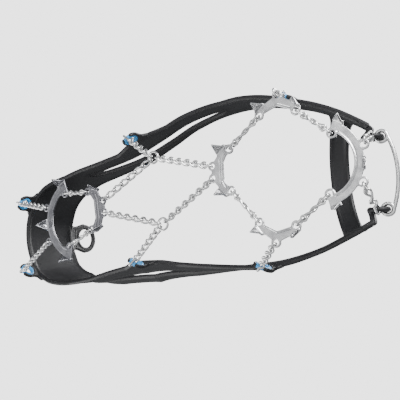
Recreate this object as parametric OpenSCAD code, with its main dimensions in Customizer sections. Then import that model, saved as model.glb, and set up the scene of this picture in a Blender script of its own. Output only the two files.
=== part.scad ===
// Ice cleat for one shoe, in the pulled tight shape it has on a right shoe of about EU 42.
// Units are millimetres. +X points to the toe, +Y to the inner side of the foot, +Z up into the shoe.
// Z = 0 is the underside of the sole. Plates and chains lie below it, the rubber harness above.

/* [Plates] */
// thickness of the stamped steel plates
plate_t = 1.5; // [1.2:0.1:2]
// height of a tooth below its plate
tooth_h = 8; // [6:0.5:12]
// radius of the eyes that take the chains
eye_r = 1.75; // [1.5:0.05:2]
// outer radius of the round lug at each eye
lug_r = 3; // [2.8:0.1:3.4]
// depth of the middle of the plates below the sole
plate_z = -3.2; // [-4:0.1:-3]

/* [Wire] */
// radius of the chain and ring wire
wire_r = 0.75; // [0.6:0.05:0.8]
// radius of the toe bail wire
bail_r = 1.2; // [1:0.1:1.3]
// length that one chain link adds to a run, before it is evened out
pitch_wish = 6.4; // [6:0.1:7.5]
// clearance between two linked wires
slack = 0.3; // [0.25:0.05:0.4]

/* [Harness] */
// thickness of the rubber
rubber_t = 2.8; // [2:0.1:3.5]
// inward lean of the rubber walls, mm per mm of height
lean = 0.15; // [0:0.01:0.2]
// radius of the rubber rod that forms an eyelet
rod_r = 1.5; // [1.3:0.1:1.6]
// radius of the middle line of a side or heel eyelet
eyelet_r = 4.2; // [4:0.1:4.6]
// radius of the middle line of a toe eyelet, which holds a chain and the bail
toe_eyelet_r = 4.8; // [4.8:0.1:5.2]
// radius of the finger hole of the heel pull tab
finger_r = 8.5; // [7:0.1:10]
// gap between the pull tab and the heel cup it bends on
tab_gap = 0.35; // [0.3:0.05:0.5]

/* [Hidden] */
$fn = 48;
steel = [0.78, 0.79, 0.81];
dark_steel = [0.55, 0.56, 0.58];
black = [0.07, 0.07, 0.08];
blue = [0.25, 0.62, 0.88];
origin = [-150, 8, 0];

// A place is [position, turn about Z, nose up angle].
toe_place = [[271, -8, plate_z + 3], 9, 6];
side_place_r = [[244, -43.3, plate_z], 6, 0];
side_place_l = [[236.4, 21.5, plate_z], 11.7, 0];
ball_place = [[209.3, -15.7, plate_z], 3, 0];
fore_heel_place = [[91.9, -7.9, plate_z], -3.5, 0];
rear_heel_place = [[69.5, -4.4, plate_z], -2.6, 0];

// Eyes of each plate in its own frame, for side s = -1 outer and 1 inner side of the foot.
function toe_in(s) = [0, 17 * s, 0];
function toe_out(s) = [17.7, 10.3 * s, 0];
function side_eye(x, s) = [x, 0, 0];
function side_out(s) = [0, 10.7 * s, 0];
function ball_front(s) = [0, 12.9 * s, 0];
function ball_rear(s) = [-12.4, 3.8 * s, 0];
function fore_rear(s) = [0, 13.9 * s, 0];
function fore_front(s) = [13.5, 4.3 * s, 0];
function rear_in(s) = [0, 19.7 * s, 0];
function rear_out(s) = [-20.7, 13 * s, 0];
side_reach = 11.5;

function put(q, p) = q[0] + [
  (p[0] * cos(q[2]) - p[2] * sin(q[2])) * cos(q[1]) - p[1] * sin(q[1]),
  (p[0] * cos(q[2]) - p[2] * sin(q[2])) * sin(q[1]) + p[1] * cos(q[1]),
  p[0] * sin(q[2]) + p[2] * cos(q[2])];
function side_place(s) = s < 0 ? side_place_r : side_place_l;

// Middle of the rim of the eye p of plate q, on the side that faces b; a ring goes round it there.
function rim_at(q, p, b) = let (a = put(q, p), n = put(q, [p[0], p[1], 1]) - a, v = b - a,
  w = v - n * (v * n)) a + w / norm(w) * (eye_r + lug_r) / 2;

// Line of the shoe's side just above the sole, heel to toe on each side.
outer_line = [[-2.5, 0], [0, -16], [9, -31], [26, -41.5], [50, -47], [80, -50], [108, -53.5],
  [134, -60.5], [160, -68], [190, -70], [222, -65], [250, -54], [272, -41], [291.5, -25.5]];
inner_line = [[-2.5, 0], [0.5, 16], [9, 31], [28, 40.5], [55, 40.5], [85, 35.5], [112, 32.5],
  [138, 34.5], [168, 39.5], [200, 44], [226, 44], [250, 39], [270, 32], [286, 25.5]];
function line_of(s) = s < 0 ? outer_line : inner_line;
function pick(list, s) = s < 0 ? list[0] : list[1];
function at_end(p, i) = p[min(len(p) - 1, i)];
function spline(a, b, c, d, t) =
  (b * 2 + (c - a) * t + (a * 2 - b * 5 + c * 4 - d) * t * t + (b * 3 - a - c * 3 + d) * t * t * t) / 2;
function walk(s, u) = let (p = line_of(s), i = min(len(p) - 2, floor(u)))
  spline(i == 0 ? [p[1][0], -p[1][1]] : p[i - 1], p[i], p[i + 1], at_end(p, i + 2), u - i);
function across(s, u) = let (d = walk(s, min(13, u + 0.02)) - walk(s, max(0, u - 0.02)))
  [-d[1], d[0]] / norm(d) * s;

// Heights of the rubber, looked up by x.
low_edge = [[-5, 20], [20, 20], [40, 24], [98, 24], [110, 19.5], [117, 18.6], [124, 18.6],
  [133, 19.8], [145, 24], [192, 24], [206, 21.2], [214, 20.6], [241, 20.6], [252, 19], [270, 15],
  [286, 12.6], [292, 12.4]];
mid_edge = [[-5, 37], [60, 37], [140, 36], [235, 34], [250, 31], [270, 25.5], [286, 20.4], [292, 20]];
slit_edge = [[0, 0], [52, 0], [84, 7], [165, 7], [196, 0], [300, 0]];
top_edge = [[-5, 66], [2, 65.8], [14, 64], [40, 60], [60, 57.5], [85, 55], [130, 51.5], [165, 48],
  [190, 44], [215, 39], [240, 34.6]];
function height(edge, x) =
  edge == 0 ? lookup(x, low_edge) :
  edge == 1 ? lookup(x, mid_edge) :
  edge == 2 ? lookup(x, mid_edge) + lookup(x, slit_edge) :
  max(lookup(x, top_edge), height(2, x) + 0.3);

// Places where chains and bail hook on: the middle of the eyelet rod, at its lowest point.
function hook(s, u, z) = let (p = walk(s, u), n = across(s, u)) [p[0] + 0.2 * n[0], p[1] + 0.2 * n[1], z];
// The chains pull the eyelets round by swing, away from the plane of the wall.
side_u = [10.75, 9.6];
mid_u = [6.54, 6.27];
heel_u = [1.75, 1.75];
side_swing = [0, 30];
mid_swing = [-10, 30];
function turn(s, u) = let (n = across(s, u)) atan2(n[1], n[0]) - 90;
toe_hook = [[291.4, -21.6, 13], [289.4, 19.8, 13]];
side_hook = [hook(-1, side_u[0], 10), hook(1, side_u[1], 10)];
mid_hook = [hook(-1, mid_u[0], 8), hook(1, mid_u[1], 8)];
heel_hook = [hook(-1, heel_u[0], 8), hook(1, heel_u[1], 8)];
side_turn = [turn(-1, side_u[0]) + side_swing[0], turn(1, side_u[1]) + side_swing[1]];
mid_turn = [turn(-1, mid_u[0]) + mid_swing[0], turn(1, mid_u[1]) + mid_swing[1]];
heel_turn = [turn(-1, heel_u[0]), turn(1, heel_u[1])];
toe_turn = atan2(toe_hook[1][1] - toe_hook[0][1], toe_hook[1][0] - toe_hook[0][0]) - 90;
knot = [[152, -35, plate_z], [155.5, 10.5, plate_z]];
knot_r = 3.9;

module along(a, b, roll) {
  d = b - a;
  translate(a)
    rotate([roll, -asin(d[2] / norm(d)), atan2(d[1], d[0])])
      children();
}

// A closed link in the XY plane; its wire crosses the X axis at -reach and reach.
module link(reach, bend, wire) {
  for (e = [-1, 1])
    translate([e * (reach - bend), 0, 0])
      rotate([0, 0, -90 * e])
        rotate_extrude(angle = 180)
          translate([bend, 0])
            circle(wire);
  if (reach > bend)
    for (e = [-1, 1])
      translate([bend - reach, e * bend, 0])
        rotate([0, 90, 0])
          cylinder(h = 2 * (reach - bend), r = wire);
}

ring_reach = 3;
ring_bend = 2;
link_bend = 1.75;
end_bend = rod_r + wire_r + 0.5;
step_in = 2 * wire_r + slack;
ring_far = 2 * ring_reach - ring_bend;
function tidy(x) = round(x * 100) / 100;

// Way of the eyelet rod at the place where the chain passes round it.
function rod_way(face) = [cos(face), sin(face), 0];

// Roll of a link on the line a to b that crosses the rod t as squarely as it can, from 0 to 180.
function end_roll(a, b, t) = let (d = (b - a) / norm(b - a), y = cross([0, 0, 1], d),
  z = cross(d, y), r = atan2(-(t * y), t * z)) r < 0 ? r + 180 : r;

// Distance by which the last link passes the rod t, measured along the chain.
function hook_over(a, b, t) = (rod_r + wire_r + slack) * norm(b - a) / norm(cross(b - a, t));

// Small ring round the rim of a plate's eye at a; it lies towards b, on edge when roll is 90.
module eye_ring(a, b, roll) {
  along(a, b, roll)
    translate([ring_reach - ring_bend, 0, 0])
      link(ring_reach, ring_bend, wire_r);
}

// Ring in the eye at a, then an even number of links, each turned from the one before, to end
// past b by over, where the last one has the roll last_roll.
module chain_run(a, b, over, last_bend, last_roll) {
  room = norm(b - a) + over - ring_far;
  count = 2 * round(room / pitch_wish / 2);
  pitch = room / count;
  reach = tidy((pitch + step_in) / 2);
  twist = (last_roll - 90) / (count + 1);
  eye_ring(a, b, 90 + tidy(twist));
  for (i = [0 : count - 1])
    along(a, b, (i % 2) * 90 + tidy(twist * (i + 2)))
      translate([ring_far - step_in + reach + i * pitch, 0, 0])
        link(reach, i == count - 1 ? last_bend : link_bend, wire_r);
}

// Two eye rings and the long link between them.
module connector(a, b) {
  span = norm(b - a);
  eye_ring(a, b, 90);
  eye_ring(b, a, 90);
  along(a, b, 0)
    translate([span / 2, 0, 0])
      link(tidy(span / 2 - ring_far + step_in), link_bend, wire_r);
}

// Tooth folded down along the line p to q; the way out is on the left of that line.
module tooth(p, q, tilt) {
  w = norm(q - p) / 2 - 0.15;
  h = -tooth_h - plate_t / 2;
  translate([(p[0] + q[0]) / 2, (p[1] + q[1]) / 2, 0])
    rotate([0, 0, atan2(q[1] - p[1], q[0] - p[0])])
      translate([0, -0.1, 0])
        rotate([tilt, 0, 0])
          rotate([90, 0, 0])
            linear_extrude(plate_t)
              polygon([[-w, plate_t / 2], [w, plate_t / 2], [w, -1.6], [0.6, h + 0.4], [0, h],
                [-0.6, h + 0.4], [-w, -1.6]]);
}

module sheet() {
  translate([0, 0, -plate_t / 2])
    linear_extrude(plate_t)
      children();
}

module place(q) {
  translate(origin + q[0])
    rotate([0, -q[2], q[1]])
      children();
}

module lug(p) {
  translate([p[0], p[1]])
    circle(lug_r);
}

module eye(p) {
  translate([p[0], p[1]])
    circle(eye_r);
}

module toe_plate() color(steel) place(toe_place) {
  sheet() difference() {
    union() {
      intersection() {
        translate([-6.4, 0]) difference() {
          circle(24.7);
          circle(19.2);
        }
        polygon([[-6.4, 0], [13.6, 34.64], [40, 34.64], [40, -34.64], [13.6, -34.64]]);
      }
      for (s = [-1, 1]) {
        polygon([[3.1, 16.4 * s], [6, 21.4 * s], [6.6, 23.3 * s], [1, 26 * s], [-1, 20.2 * s],
          [-2.4, 17.6 * s], [0, 14.6 * s]]);
        lug(toe_in(s));
        lug(toe_out(s));
        polygon([[13, 8 * s], [15, 12.6 * s], [17, 12.6 * s], [17, 7.6 * s]]);
      }
      polygon([[17, -4.2], [19, -3.3], [19, 3.3], [17, 4.2]]);
    }
    for (s = [-1, 1]) {
      eye(toe_in(s));
      eye(toe_out(s));
    }
  }
  tooth([6.6, -23.3], [1, -26], 12);
  tooth([1, 26], [6.6, 23.3], 12);
  tooth([19, 3.3], [19, -3.3], 8);
}

module side_plate(s) color(steel) place(side_place(s)) {
  sheet() difference() {
    union() {
      polygon([[-9.5, 0.4 * s], [0, 4.1 * s], [9.5, 0.4 * s], [14.2, 0.4 * s], [14.4, 2.4 * s],
        [9.7, 7.4 * s], [7.4, 6.8 * s], [2.9, 9.4 * s], [-2.9, 9.4 * s], [-7.4, 6.8 * s],
        [-9.7, 7.4 * s], [-14.4, 2.4 * s], [-14.2, 0.4 * s]]);
      lug(side_eye(-side_reach, s));
      lug(side_eye(side_reach, s));
      lug(side_out(s));
    }
    eye(side_eye(-side_reach, s));
    eye(side_eye(side_reach, s));
    eye(side_out(s));
  }
  if (s > 0) {
    tooth([9.7, 7.4], [14.4, 2.4], 10);
    tooth([-14.4, 2.4], [-9.7, 7.4], 10);
  } else {
    tooth([14.4, -2.4], [9.7, -7.4], 10);
    tooth([-9.7, -7.4], [-14.4, -2.4], 10);
  }
}

module ball_plate() color(steel) place(ball_place) {
  sheet() difference() {
    union() {
      for (s = [-1, 1]) {
        polygon([[-4.3, 0], [-4.3, 5.8 * s], [-2.6, 9 * s], [0, 11 * s], [-0.6, 15.7 * s],
          [-3.9, 16.4 * s], [-9.6, 12 * s], [-8.6, 9.8 * s], [-11, 6.9 * s], [-13.4, 3.8 * s],
          [-13, 0]]);
        lug(ball_front(s));
        lug(ball_rear(s));
      }
    }
    for (s = [-1, 1]) {
      eye(ball_front(s));
      eye(ball_rear(s));
    }
  }
  tooth([-3.9, -16.4], [-9.6, -12], 10);
  tooth([-9.6, 12], [-3.9, 16.4], 10);
}

module fore_heel_plate() color(dark_steel) place(fore_heel_place) {
  sheet() difference() {
    union() {
      for (s = [-1, 1]) {
        polygon([[5.2, 0], [5.3, 6.4 * s], [3, 10.4 * s], [0, 12 * s], [0.8, 16.4 * s],
          [5, 16.6 * s], [11.3, 13.8 * s], [9.9, 11.8 * s], [11.4, 8.2 * s], [14.4, 5 * s],
          [14.8, 0]]);
        lug(fore_rear(s));
        lug(fore_front(s));
      }
    }
    for (s = [-1, 1]) {
      eye(fore_rear(s));
      eye(fore_front(s));
    }
  }
  tooth([11.3, -13.8], [5, -16.6], 8);
  tooth([5, 16.6], [11.3, 13.8], 8);
}

module rear_heel_plate() color(dark_steel) place(rear_heel_place) {
  difference() {
    union() {
      translate([9.2, 0, 0])
        rotate([0, 0, 128])
          rotate_extrude(angle = 104)
            translate([24.5, -plate_t / 2])
              square([5.6, plate_t]);
      sheet() {
        for (s = [-1, 1]) {
          polygon([[-8.2, 18.2 * s], [-11.4, 21.2 * s], [-7.6, 25 * s], [-6.7, 27.6 * s], [0, 31 * s],
            [2.9, 21 * s], [0.4, 17.6 * s], [-4.6, 19.4 * s]]);
          lug(rear_in(s));
        }
        polygon([[-19.4, -5], [-21.7, -4.2], [-21.7, 4.2], [-19.4, 5]]);
      }
      for (s = [-1, 1])
        translate([0, 0, -plate_t / 2])
          linear_extrude(plate_t)
            lug(rear_out(s));
    }
    for (s = [-1, 1])
      for (p = [rear_in(s), rear_out(s)])
        translate([p[0], p[1], -plate_t])
          cylinder(h = 2 * plate_t, r = eye_r);
  }
  tooth([0, -31], [-6.7, -27.6], 10);
  tooth([-6.7, 27.6], [0, 31], 10);
  tooth([-21.7, -4.2], [-21.7, 4.2], 24);
}

// Connector between the eye p of plate q and the eye v of plate w.
module joined(q, p, w, v)
  connector(rim_at(q, p, put(w, v)), rim_at(w, v, put(q, p)));

module toe_connector(s) color(steel) translate(origin)
  joined(toe_place, toe_in(s), side_place(s), side_eye(side_reach, s));

module ball_connector(s) color(steel) translate(origin)
  joined(side_place(s), side_eye(-side_reach, s), ball_place, ball_front(s));

module heel_connector(s) color(steel) translate(origin)
  joined(fore_heel_place, fore_rear(s), rear_heel_place, rear_in(s));

knot_over = step_in - knot_r;

// Chain from the eye p of plate q up to the rod of an eyelet that is turned by face.
module eyelet_chain(q, p, b, face) {
  a = rim_at(q, p, b);
  t = rod_way(face);
  chain_run(a, b, hook_over(a, b, t), end_bend, end_roll(a, b, t));
}

// Chain from the eye p of plate q to the knot ring at b.
module leg(q, p, b)
  chain_run(rim_at(q, p, b), b, knot_over, link_bend, 90);

module toe_chain(s) color(steel) translate(origin)
  eyelet_chain(toe_place, toe_out(s), pick(toe_hook, s), toe_turn);

module side_chain(s) color(steel) translate(origin)
  eyelet_chain(side_place(s), side_out(s), pick(side_hook, s), pick(side_turn, s));

module heel_chain(s) color(steel) translate(origin)
  eyelet_chain(rear_heel_place, rear_out(s), pick(heel_hook, s), pick(heel_turn, s));

module ball_leg(s) color(steel) translate(origin)
  leg(ball_place, ball_rear(s), pick(knot, s));

module heel_leg(s) color(steel) translate(origin)
  leg(fore_heel_place, fore_front(s), pick(knot, s));

module knot_ring(s) color(steel) translate(origin)
  translate(pick(knot, s))
    rotate_extrude()
      translate([knot_r, 0])
        circle(wire_r);

// Chain from the wire of the knot ring up to the eyelet.
function knot_side(s) = let (v = pick(mid_hook, s) - pick(knot, s))
  pick(knot, s) + [v[0], v[1], 0] / norm([v[0], v[1]]) * knot_r;
module mid_chain(s) color(steel) translate(origin) {
  a = knot_side(s);
  b = pick(mid_hook, s);
  t = rod_way(pick(mid_turn, s));
  room = norm(b - a) + hook_over(a, b, t);
  count = 2 * round((room / pitch_wish - 1) / 2) + 1;
  pitch = room / count;
  reach = tidy((pitch + step_in) / 2);
  twist = (end_roll(a, b, t) - 90) / count;
  for (i = [0 : count - 1])
    along(a, b, 90 - (i % 2) * 90 + tidy(twist * (i + 1)))
      translate([reach - step_in + i * pitch, 0, 0])
        link(reach, i == count - 1 ? end_bend : link_bend, wire_r);
}

// Rubber eyelet, moulded on to the edge of the wall by its stem.
function edge_over(p, d) = max(height(0, p[0] - d), height(0, p[0]), height(0, p[0] + d));
module eyelet(p, face) color(blue) translate(origin)
  translate(p + [0, 0, eyelet_r])
    rotate([0, 0, face]) {
      rotate([90, 0, 0])
        rotate_extrude()
          translate([eyelet_r, 0])
            circle(rod_r);
      translate([-4, -rubber_t / 2, eyelet_r - 0.7])
        cube([8, rubber_t, tidy(edge_over(p, 4) - p[2] - 2 * eyelet_r + 1)]);
    }

module side_eyelet(s) eyelet(pick(side_hook, s), pick(side_turn, s));
module mid_eyelet(s) eyelet(pick(mid_hook, s), pick(mid_turn, s));
module heel_eyelet(s) eyelet(pick(heel_hook, s), pick(heel_turn, s));

// The toe eyelets share one axis, on which the bail swings; their stems point back to the bands.
function band_tip(s) = let (z = 12 + toe_eyelet_r, p = walk(s, 12.9), n = across(s, 12.9))
  [p[0] + n[0] * (rubber_t / 2 - lean * (z - 12)), p[1] + n[1] * (rubber_t / 2 - lean * (z - 12))];
module toe_eyelet(s) color(black) translate(origin)
  translate(pick(toe_hook, s) + [0, 0, toe_eyelet_r]) {
    rotate([0, 0, toe_turn])
      rotate([90, 0, 0])
        rotate_extrude()
          translate([toe_eyelet_r, 0])
            circle(rod_r);
    back = [-cos(toe_turn), -sin(toe_turn)] * toe_eyelet_r;
    way = band_tip(s) - [pick(toe_hook, s)[0], pick(toe_hook, s)[1]] - back;
    translate([back[0], back[1], -2.8])
      rotate([0, 0, atan2(way[1], way[0])])
        translate([0, -rubber_t / 2, 0])
          cube([tidy(norm(way) + 0.4), rubber_t, 5.6]);
  }

module toe_bail() color(steel) translate(origin) {
  half = norm(toe_hook[1] - toe_hook[0]) / 2;
  eye_bend = rod_r + bail_r + 0.4;
  rise = 4;
  big = (half * half + rise * rise) / (2 * rise);
  sweep = asin(half / big);
  translate((toe_hook[0] + toe_hook[1]) / 2 + [0, 0, toe_eyelet_r])
    rotate([0, 0, toe_turn]) {
      for (s = [-1, 1])
        translate([toe_eyelet_r, half * s, 0])
          rotate_extrude()
            translate([eye_bend, 0])
              circle(bail_r);
      translate([toe_eyelet_r + eye_bend + rise - big, 0, 0])
        rotate([0, 0, -sweep])
          rotate_extrude(angle = 2 * sweep)
            translate([big, 0])
              circle(bail_r);
    }
}

// Inward shift of a wall at the height z; over the arch on the inner side it swells out instead.
swell = [[30, 0], [70, 0.35], [110, 0.6], [150, 0.45], [200, 0.1], [230, 0]];
function inward(s, x, z) = lean * (z - 12) - (s > 0 ? lookup(x, swell) * max(0, z - 22) : 0);

// Rubber wall through the stations [s, u], between two edges; four corners at each station.
function rows(stations, low, high) = [for (w = stations)
  let (p = walk(w[0], w[1]), n = across(w[0], w[1]), a = height(low, p[0]), b = height(high, p[0]))
    for (c = [[0, a], [rubber_t, a], [rubber_t, b], [0, b]])
      let (d = c[0] - inward(w[0], p[0], c[1])) [p[0] + n[0] * d, p[1] + n[1] * d, c[1]]];
function skin(n) = concat(
  [[0, 1, 2], [0, 2, 3]],
  [for (i = [0 : n - 2], k = [0 : 3], t = [0, 1])
    let (a = 4 * i + k, b = 4 * i + (k + 1) % 4)
      t == 0 ? [a, a + 4, b] : [b, a + 4, b + 4]],
  let (m = 4 * (n - 1)) [[m + 2, m + 1, m], [m + 3, m + 2, m]]);
module band(points) {
  translate(origin)
    polyhedron(points, skin(len(points) / 4));
}
function steps(s, from, to, n) = [for (i = [0 : n]) [s, from + (to - from) * i / n]];
function outward(s, list) = s > 0 ? list : [for (i = [len(list) - 1 : -1 : 0]) list[i]];
cup_u = 2.6;

module lower_band(s) color(black) band(rows(outward(s, steps(s, cup_u, 12.9, 40)), 0, 1));
module upper_band(s) color(black) band(rows(outward(s, steps(s, cup_u, 10.4, 30)), 2, 3));
module heel_cup() color(black)
  band(rows(concat([for (i = [12 : -1 : 1]) [-1, cup_u * i / 12]], steps(1, 0, cup_u, 12)), 0, 3));

// Strap over the toe: a band that stands on the two lower bands and arches between them.
strap_w = 13;
strap_u = [12.05, 12.1];
strap_rise = 27;
function foot(s) = let (u = pick(strap_u, s), p = walk(s, u), n = across(s, u), z = height(1, p[0]) + 2.2)
  [p[0] + n[0] * (rubber_t / 2 - lean * (z - 12)), p[1] + n[1] * (rubber_t / 2 - lean * (z - 12)), z];
function along_side(s) = let (n = across(s, pick(strap_u, s))) [abs(n[1]), -n[0] * sign(n[1]), 0];
function arch(t) = let (a = foot(-1), b = foot(1), w = sin(180 * t))
  [a[0] + (b[0] - a[0]) * t - 13 * w, (a[1] + b[1]) / 2 - (b[1] - a[1]) / 2 * cos(180 * t),
    a[2] + (b[2] - a[2]) * t + strap_rise * pow(w, 0.75)];
function cross_row(t) =
  let (p = arch(t), d = arch(min(1, t + 0.005)) - arch(max(0, t - 0.005)), f = sin(180 * t),
    e = along_side(-1) * (1 - t) + along_side(1) * t,
    w = (e * (1 - f) + [1, 0, 0] * f) / norm(e * (1 - f) + [1, 0, 0] * f),
    n = cross(w, d) / norm(cross(w, d)))
      [for (c = [[-1, -1], [1, -1], [1, 1], [-1, 1]]) p + w * strap_w / 2 * c[0] + n * rubber_t / 2 * c[1]];
module toe_strap() color(black) band([for (i = [0 : 32], p = cross_row(i / 32)) p]);

// Pull tab above the heel; it bends on the round bead at its foot.
tab_root = [4.2, 0, 66 + tab_gap + rubber_t / 2];
tab_rise = 15;
module pull_tab() color(black) translate(origin)
  translate(tab_root) {
    rotate([90, 0, 0])
      cylinder(h = 22, r = rubber_t / 2, center = true);
    translate([-rubber_t / 2, 0, 0])
      rotate([90, 0, 90])
        linear_extrude(rubber_t)
          difference() {
            union() {
              polygon([[-11, 0], [11, 0], [12.9, tab_rise], [-12.9, tab_rise]]);
              translate([0, tab_rise])
                circle(13);
            }
            translate([0, tab_rise])
              circle(finger_r);
          }
  }

lower_band(-1);  // lower_band_outer
lower_band(1);  // lower_band_inner
upper_band(-1);  // upper_band_outer
upper_band(1);  // upper_band_inner
heel_cup();
toe_strap();
pull_tab();
toe_eyelet(-1);  // toe_eyelet_outer
toe_eyelet(1);  // toe_eyelet_inner
side_eyelet(-1);  // side_eyelet_outer
side_eyelet(1);  // side_eyelet_inner
mid_eyelet(-1);  // mid_eyelet_outer
mid_eyelet(1);  // mid_eyelet_inner
heel_eyelet(-1);  // heel_eyelet_outer
heel_eyelet(1);  // heel_eyelet_inner
toe_bail();
toe_plate();
side_plate(-1);  // side_plate_outer
side_plate(1);  // side_plate_inner
ball_plate();
fore_heel_plate();
rear_heel_plate();
toe_connector(-1);  // toe_connector_outer
toe_connector(1);  // toe_connector_inner
ball_connector(-1);  // ball_connector_outer
ball_connector(1);  // ball_connector_inner
heel_connector(-1);  // heel_connector_outer
heel_connector(1);  // heel_connector_inner
toe_chain(-1);  // toe_chain_outer
toe_chain(1);  // toe_chain_inner
side_chain(-1);  // side_chain_outer
side_chain(1);  // side_chain_inner
ball_leg(-1);  // ball_leg_outer
ball_leg(1);  // ball_leg_inner
heel_leg(-1);  // heel_leg_outer
heel_leg(1);  // heel_leg_inner
knot_ring(-1);  // knot_ring_outer
knot_ring(1);  // knot_ring_inner
mid_chain(-1);  // mid_chain_outer
mid_chain(1);  // mid_chain_inner
heel_chain(-1);  // heel_chain_outer
heel_chain(1);  // heel_chain_inner
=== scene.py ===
"""Looks of the shoe ice cleat: steel plates, rings, chains and bail, and the rubber harness."""

import math

import bmesh
import bpy
import numpy as np
from mathutils import Matrix, Vector


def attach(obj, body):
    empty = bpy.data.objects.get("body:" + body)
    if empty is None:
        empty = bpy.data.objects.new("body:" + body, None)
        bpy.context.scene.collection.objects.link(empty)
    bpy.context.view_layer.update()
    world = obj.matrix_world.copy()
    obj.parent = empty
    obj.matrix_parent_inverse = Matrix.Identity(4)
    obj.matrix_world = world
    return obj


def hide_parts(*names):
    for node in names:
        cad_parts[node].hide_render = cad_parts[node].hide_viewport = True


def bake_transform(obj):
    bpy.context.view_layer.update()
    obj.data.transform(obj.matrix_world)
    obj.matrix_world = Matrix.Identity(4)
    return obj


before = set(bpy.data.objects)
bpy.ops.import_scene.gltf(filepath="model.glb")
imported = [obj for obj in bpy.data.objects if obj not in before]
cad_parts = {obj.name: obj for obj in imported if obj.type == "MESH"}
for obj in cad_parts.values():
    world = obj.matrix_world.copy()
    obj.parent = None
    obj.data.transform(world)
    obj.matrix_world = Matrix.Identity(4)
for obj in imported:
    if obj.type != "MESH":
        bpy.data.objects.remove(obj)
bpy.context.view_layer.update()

# Sizes are in millimetres and become metres in new_piece(). Adding ORIGIN to a point of the
# part's source gives the same point in the row frame.
MM = 0.001
ORIGIN = np.array([-150.0, 8.0, 0.0])
SIDES = {"outer": -1, "inner": 1}

PLATE_T = 1.5
TOOTH_H = 8.0
PLATE_Z = -3.2
EYE_R = 1.75
LIP_R = 2.4
LUG_R = 3.0
# A lug is drawn a little smaller, because the lip of its eye adds to it.
LUG_DRAWN_R = 2.9
WIRE_R = 0.75
BAIL_R = 1.2
PITCH = 6.4
SLACK = 0.3
RUBBER_T = 2.8
LEAN = 0.15
LEAN_FROM = 12
SWELL_FROM = 22
ROD_R = 1.5
EYELET_R = 4.2
TOE_EYELET_R = 4.8
FINGER_R = 8.5
RING_REACH = 3.0
RING_BEND = 2.0
LINK_BEND = 1.75
END_BEND = ROD_R + WIRE_R + 0.5
STEP_IN = 2 * WIRE_R + SLACK
RING_FAR = 2 * RING_REACH - RING_BEND
KNOT_R = 3.9

# A plate's place: position, turn about Z and nose up angle, in degrees.
PLACES = {
    "toe": ((271, -8, PLATE_Z + 3), 9, 6),
    "side_outer": ((244, -43.3, PLATE_Z), 6, 0),
    "side_inner": ((236.4, 21.5, PLATE_Z), 11.7, 0),
    "ball": ((209.3, -15.7, PLATE_Z), 3, 0),
    "fore_heel": ((91.9, -7.9, PLATE_Z), -3.5, 0),
    "rear_heel": ((69.5, -4.4, PLATE_Z), -2.6, 0),
}
KNOTS = {-1: (152, -35, PLATE_Z), 1: (155.5, 10.5, PLATE_Z)}
TOE_HOOKS = {-1: (291.4, -21.6, 13), 1: (289.4, 19.8, 13)}
SIDE_U = {-1: 10.75, 1: 9.6}
MID_U = {-1: 6.54, 1: 6.27}
HEEL_U = {-1: 1.75, 1: 1.75}
# The chains pull the eyelets round by this angle, away from the plane of the wall.
SIDE_SWING = {-1: 0, 1: 30}
MID_SWING = {-1: -10, 1: 30}

# Line of the shoe's side just above the sole, from the heel to the toe.
SIDE_LINES = {
    -1: [(-2.5, 0), (0, -16), (9, -31), (26, -41.5), (50, -47), (80, -50), (108, -53.5),
         (134, -60.5), (160, -68), (190, -70), (222, -65), (250, -54), (272, -41), (291.5, -25.5)],
    1: [(-2.5, 0), (0.5, 16), (9, 31), (28, 40.5), (55, 40.5), (85, 35.5), (112, 32.5),
        (138, 34.5), (168, 39.5), (200, 44), (226, 44), (250, 39), (270, 32), (286, 25.5)],
}
LOW_EDGE = [(-5, 20), (20, 20), (40, 24), (98, 24), (110, 19.5), (117, 18.6), (124, 18.6), (133, 19.8),
            (145, 24), (192, 24), (206, 21.2), (214, 20.6), (241, 20.6), (252, 19), (270, 15),
            (286, 12.6), (292, 12.4)]
MID_EDGE = [(-5, 37), (60, 37), (140, 36), (235, 34), (250, 31), (270, 25.5), (286, 20.4), (292, 20)]
TOP_EDGE = [(-5, 66), (2, 65.8), (14, 64), (40, 60), (60, 57.5), (85, 55), (130, 51.5), (165, 48),
            (190, 44), (215, 39), (240, 34.6), (300, 0)]
SWELL = [(30, 0), (70, 0.35), (110, 0.6), (150, 0.45), (200, 0.1), (230, 0)]
WINDOW = (58, 190, 7.0)
WINDOW_LAST_U = 10.4
BAND_END = 12.9

# Grid steps of the pieces made from fields, and the lowest level of a plate's grid.
PLATE_STEP = 0.25
EYELET_STEP = 0.3
TAB_STEP = 0.4
PLATE_LOW = -10.5


# ---------------------------------------------------------------- the layout


def turned(angle, axis):
    """Rotation by an angle in degrees about X, Y or Z."""
    return np.array(Matrix.Rotation(math.radians(angle), 3, axis))


def place_of(name):
    """Rotation and position of a plate in the row frame."""
    at, turn, nose = PLACES[name]
    return turned(turn, "Z") @ turned(-nose, "Y"), ORIGIN + at


def put(name, point):
    rotation, at = place_of(name)
    return rotation @ np.array([*point, 0.0]) + at


def walk(side, u):
    """Point of the side line at u, on a smooth curve through its points."""
    line = np.array(SIDE_LINES[side], float)
    i = min(len(line) - 2, int(u))
    before = line[1] * (1, -1) if i == 0 else line[i - 1]
    a, b, after = line[i], line[i + 1], line[min(len(line) - 1, i + 2)]
    t = u - i
    return (a * 2 + (b - before) * t + (before * 2 - a * 5 + b * 4 - after) * t * t
            + (a * 3 - before - b * 3 + after) * t**3) / 2


def across(side, u):
    """Outward direction of the side line at u."""
    d = walk(side, min(13, u + 0.02)) - walk(side, max(0, u - 0.02))
    return np.array([-d[1], d[0]]) / np.linalg.norm(d) * side


def height(edge, x):
    return np.interp(x, *zip(*edge))


def top_of(x):
    return max(height(TOP_EDGE, x), height(MID_EDGE, x))


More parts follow.
